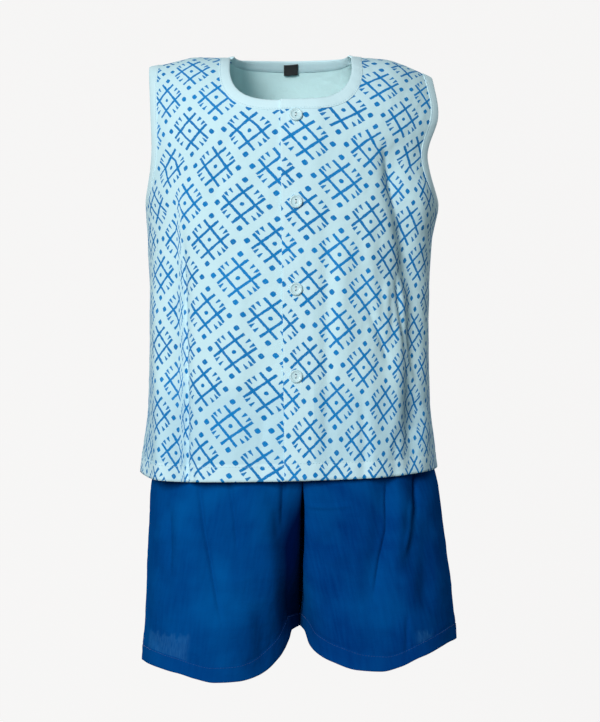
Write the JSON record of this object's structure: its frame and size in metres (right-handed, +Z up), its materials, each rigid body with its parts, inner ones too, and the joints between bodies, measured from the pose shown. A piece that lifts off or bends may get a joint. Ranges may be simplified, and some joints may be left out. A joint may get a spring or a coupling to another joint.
{
  "type": "child's sleeveless button-front top and shorts set, filled out as worn",
  "caption": "Child's summer set filled out as worn: sleeveless round-neck top with a buttoned front and bound edges, over flared elastic-waist shorts.",
  "frame": {"origin": "middle of the shoulder line, between the two neck points, where the wearer's shoulders hold the top", "axes": "+Z up, the front faces -Y, +X is the wearer's left"},
  "size_m": [0.2837, 0.1681, 0.5535],
  "materials": {
    "aqua_print": "thin matte cotton voile, blue hand-block lattice print",
    "aqua_binding": "plain matte cotton bias binding",
    "blue_cotton": "thin, slightly sheer plain-weave cotton",
    "pearl_button": "semi-gloss pearly white",
    "label_tape": "black woven tape, bare"
  },
  "bodies": {
    "root": {"top_front_left": "aqua_print", "top_front_right": "aqua_print", "top_back": "aqua_print", "neck_binding": "aqua_binding", "armhole_binding_left": "aqua_binding", "armhole_binding_right": "aqua_binding", "button_1": "pearl_button", "button_2": "pearl_button", "button_3": "pearl_button", "button_4": "pearl_button", "label": "label_tape", "shorts_front_left": "blue_cotton", "shorts_front_right": "blue_cotton", "shorts_back_left": "blue_cotton", "shorts_back_right": "blue_cotton", "shorts_waistband": "blue_cotton"}
  },
  "joints": []
}
